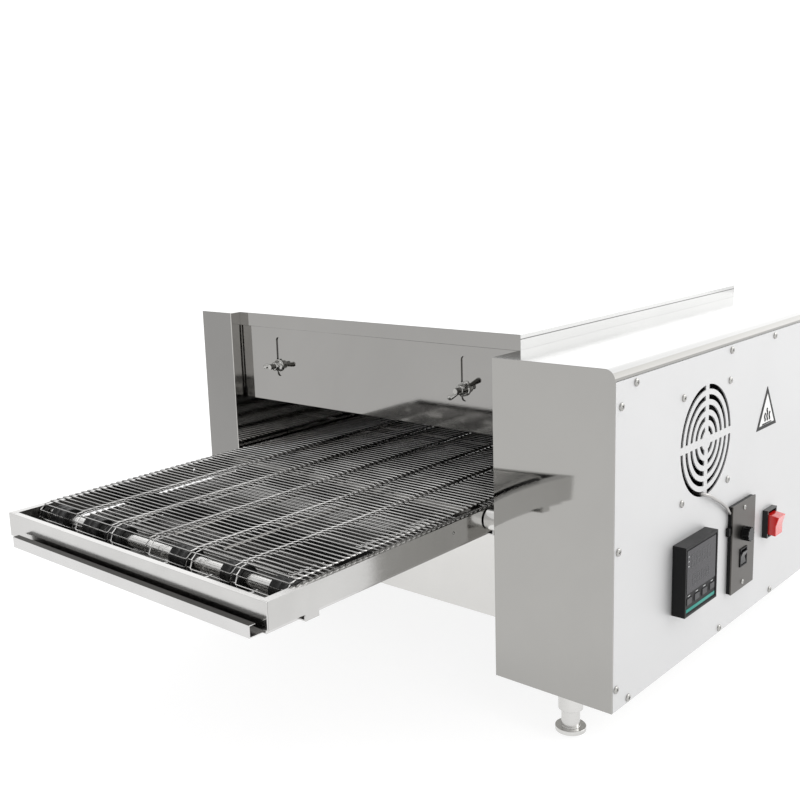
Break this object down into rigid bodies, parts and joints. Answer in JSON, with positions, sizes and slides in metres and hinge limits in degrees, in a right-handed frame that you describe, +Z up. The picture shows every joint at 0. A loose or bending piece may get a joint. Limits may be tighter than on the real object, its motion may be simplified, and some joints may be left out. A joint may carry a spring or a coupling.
{
  "type": "countertop conveyor pizza oven",
  "caption": "Countertop tunnel oven with a wire conveyor belt, height-adjustable mouth baffles, pull-out crumb trays and a side control cabinet.",
  "frame": {"origin": "on the surface the feet stand on, at the middle of the overall width and length", "axes": "+Z up; +Y along the belt from the infeed end to the outfeed end; +X across the belt towards the control cabinet"},
  "size_m": [0.6074, 1.18, 0.383],
  "materials": {
    "steel_panel": "brushed stainless sheet, satin",
    "steel_bright": "polished stainless sheet",
    "steel_dark": "heat-darkened steel",
    "shaft_steel": "bright turned steel",
    "belt_wire": "stainless wire",
    "ceramic_steel": "steel sheath with ceramic sleeves",
    "insulation": "mineral wool, matt",
    "black_plastic": "black moulded plastic",
    "roller_black": "black heat-resistant polymer",
    "motor_grey": "grey painted metal",
    "bush_black": "sintered bush",
    "plate_metal": "dull brushed plate",
    "red_plastic": "glossy red plastic",
    "button_grey": "dark keys",
    "badge": "printed film",
    "lead_grey": "braided metal lead"
  },
  "bodies": {
    "oven_body": {"base_pan": "steel_panel", "lower_panels": "steel_panel", "left_cover": "steel_panel", "left_inner_wall": "steel_panel", "cabinet_cover": "steel_panel", "cabinet_chassis": "steel_panel", "side_panel": "steel_panel", "top_lid": "steel_bright", "upper_walls": "steel_panel", "chamber_ceiling": "steel_dark", "chamber_floor": "steel_dark", "insulation": "insulation", "heating_elements": "ceramic_steel", "rail_left": "steel_panel", "rail_right": "steel_panel", "end_bars": "steel_bright", "cross_members": "steel_panel", "belt_support_rods": "steel_bright", "shaft_bushes": "bush_black", "conveyor_belt": "belt_wire", "gear_motor": "motor_grey", "motor_bracket": "steel_panel", "drive_chain": "steel_dark", "fan_housing": "black_plastic", "temp_controller": "black_plastic", "speed_control_body": "black_plastic", "speed_plate": "plate_metal", "main_switch_housing": "black_plastic", "panel_screws": "steel_bright", "foot_sleeves": "steel_bright", "sensor_lead": "lead_grey", "cable_gland": "black_plastic", "warning_badge": "badge"},
    "drive_shaft": {"drive_shaft": "shaft_steel"},
    "front_idler": {"front_idler_shaft": "shaft_steel", "front_idler_wheels": "roller_black"},
    "rear_idler": {"rear_idler_shaft": "shaft_steel", "rear_idler_wheels": "roller_black"},
    "motor_output": {"motor_sprocket": "shaft_steel"},
    "fan_blades": {"fan_rotor": "black_plastic"},
    "front_baffle": {"front_baffle": "steel_panel"},
    "rear_baffle": {"rear_baffle": "steel_panel"},
    "wing_nut_fl": {"wing_nut_front_left": "steel_bright"},
    "wing_nut_fr": {"wing_nut_front_right": "steel_bright"},
    "wing_nut_rl": {"wing_nut_rear_left": "steel_bright"},
    "wing_nut_rr": {"wing_nut_rear_right": "steel_bright"},
    "front_tray": {"front_crumb_tray": "steel_bright"},
    "rear_tray": {"rear_crumb_tray": "steel_bright"},
    "speed_knob": {"speed_knob": "black_plastic"},
    "run_rocker": {"run_rocker": "black_plastic"},
    "main_rocker": {"main_rocker": "red_plastic"},
    "button_1": {"controller_button_1": "button_grey"},
    "button_2": {"controller_button_2": "button_grey"},
    "button_3": {"controller_button_3": "button_grey"},
    "button_4": {"controller_button_4": "button_grey"},
    "foot_fl": {"foot_front_left": "steel_bright"},
    "foot_fr": {"foot_front_right": "steel_bright"},
    "foot_rl": {"foot_rear_left": "steel_bright"},
    "foot_rr": {"foot_rear_right": "steel_bright"}
  },
  "joints": [
    {"name": "drive_spin", "type": "hinge", "parent": "oven_body", "child": "drive_shaft", "pos_m": [-0.05173, -0.2805, 0.204], "axis": [1, 0, 0], "continuous": true},
    {"name": "front_idler_spin", "type": "hinge", "parent": "oven_body", "child": "front_idler", "pos_m": [-0.05173, -0.536, 0.204], "axis": [1, 0, 0], "continuous": true},
    {"name": "rear_idler_spin", "type": "hinge", "parent": "oven_body", "child": "rear_idler", "pos_m": [-0.05173, 0.536, 0.204], "axis": [1, 0, 0], "continuous": true},
    {"name": "motor_spin", "type": "hinge", "parent": "oven_body", "child": "motor_output", "pos_m": [0.18227, -0.233, 0.148], "axis": [1, 0, 0], "continuous": true},
    {"name": "fan_spin", "type": "hinge", "parent": "oven_body", "child": "fan_blades", "pos_m": [0.25827, -0.1104, 0.2674], "axis": [1, 0, 0], "continuous": true},
    {"name": "front_baffle_slide", "type": "slide", "parent": "oven_body", "child": "front_baffle", "axis": [0, 0, 1], "range_m": [-0.03, 0.009]},
    {"name": "rear_baffle_slide", "type": "slide", "parent": "oven_body", "child": "rear_baffle", "axis": [0, 0, 1], "range_m": [-0.03, 0.009]},
    {"name": "wing_nut_fl_turn", "type": "hinge", "parent": "oven_body", "child": "wing_nut_fl", "pos_m": [-0.18573, -0.251, 0.322], "axis": [0, -1, 0], "continuous": true},
    {"name": "wing_nut_fr_turn", "type": "hinge", "parent": "oven_body", "child": "wing_nut_fr", "pos_m": [0.08828, -0.251, 0.322], "axis": [0, -1, 0], "continuous": true},
    {"name": "wing_nut_rl_turn", "type": "hinge", "parent": "oven_body", "child": "wing_nut_rl", "pos_m": [-0.18573, 0.251, 0.322], "axis": [0, 1, 0], "continuous": true},
    {"name": "wing_nut_rr_turn", "type": "hinge", "parent": "oven_body", "child": "wing_nut_rr", "pos_m": [0.08828, 0.251, 0.322], "axis": [0, 1, 0], "continuous": true},
    {"name": "front_tray_pull", "type": "slide", "parent": "oven_body", "child": "front_tray", "axis": [0, -1, 0], "range_m": [0, 0.25]},
    {"name": "rear_tray_pull", "type": "slide", "parent": "oven_body", "child": "rear_tray", "axis": [0, 1, 0], "range_m": [0, 0.25]},
    {"name": "speed_knob_turn", "type": "hinge", "parent": "oven_body", "child": "speed_knob", "pos_m": [0.29628, -0.0238, 0.148], "axis": [1, 0, 0], "range_deg": [0, 270]},
    {"name": "run_rocker_tilt", "type": "hinge", "parent": "oven_body", "child": "run_rocker", "pos_m": [0.28828, -0.0238, 0.1215], "axis": [0, -1, 0], "range_deg": [0, 16]},
    {"name": "main_rocker_tilt", "type": "hinge", "parent": "oven_body", "child": "main_rocker", "pos_m": [0.28828, 0.053, 0.1395], "axis": [0, -1, 0], "range_deg": [0, 16]},
    {"name": "button_1_press", "type": "slide", "parent": "oven_body", "child": "button_1", "axis": [-1, 0, 0], "range_m": [0, 0.0008], "stiffness_N_per_m": 400},
    {"name": "button_2_press", "type": "slide", "parent": "oven_body", "child": "button_2", "axis": [-1, 0, 0], "range_m": [0, 0.0008], "stiffness_N_per_m": 400},
    {"name": "button_3_press", "type": "slide", "parent": "oven_body", "child": "button_3", "axis": [-1, 0, 0], "range_m": [0, 0.0008], "stiffness_N_per_m": 400},
    {"name": "button_4_press", "type": "slide", "parent": "oven_body", "child": "button_4", "axis": [-1, 0, 0], "range_m": [0, 0.0008], "stiffness_N_per_m": 400},
    {"name": "foot_fl_adjust", "type": "slide", "parent": "oven_body", "child": "foot_fl", "axis": [0, 0, 1], "range_m": [-0.012, 0.004]},
    {"name": "foot_fr_adjust", "type": "slide", "parent": "oven_body", "child": "foot_fr", "axis": [0, 0, 1], "range_m": [-0.012, 0.004]},
    {"name": "foot_rl_adjust", "type": "slide", "parent": "oven_body", "child": "foot_rl", "axis": [0, 0, 1], "range_m": [-0.012, 0.004]},
    {"name": "foot_rr_adjust", "type": "slide", "parent": "oven_body", "child": "foot_rr", "axis": [0, 0, 1], "range_m": [-0.012, 0.004]}
  ],
  "couplings": [
    {"joint": "front_idler_spin", "follows": "drive_spin", "ratio": 1},
    {"joint": "rear_idler_spin", "follows": "drive_spin", "ratio": 1},
    {"joint": "motor_spin", "follows": "drive_spin", "ratio": 1}
  ]
}
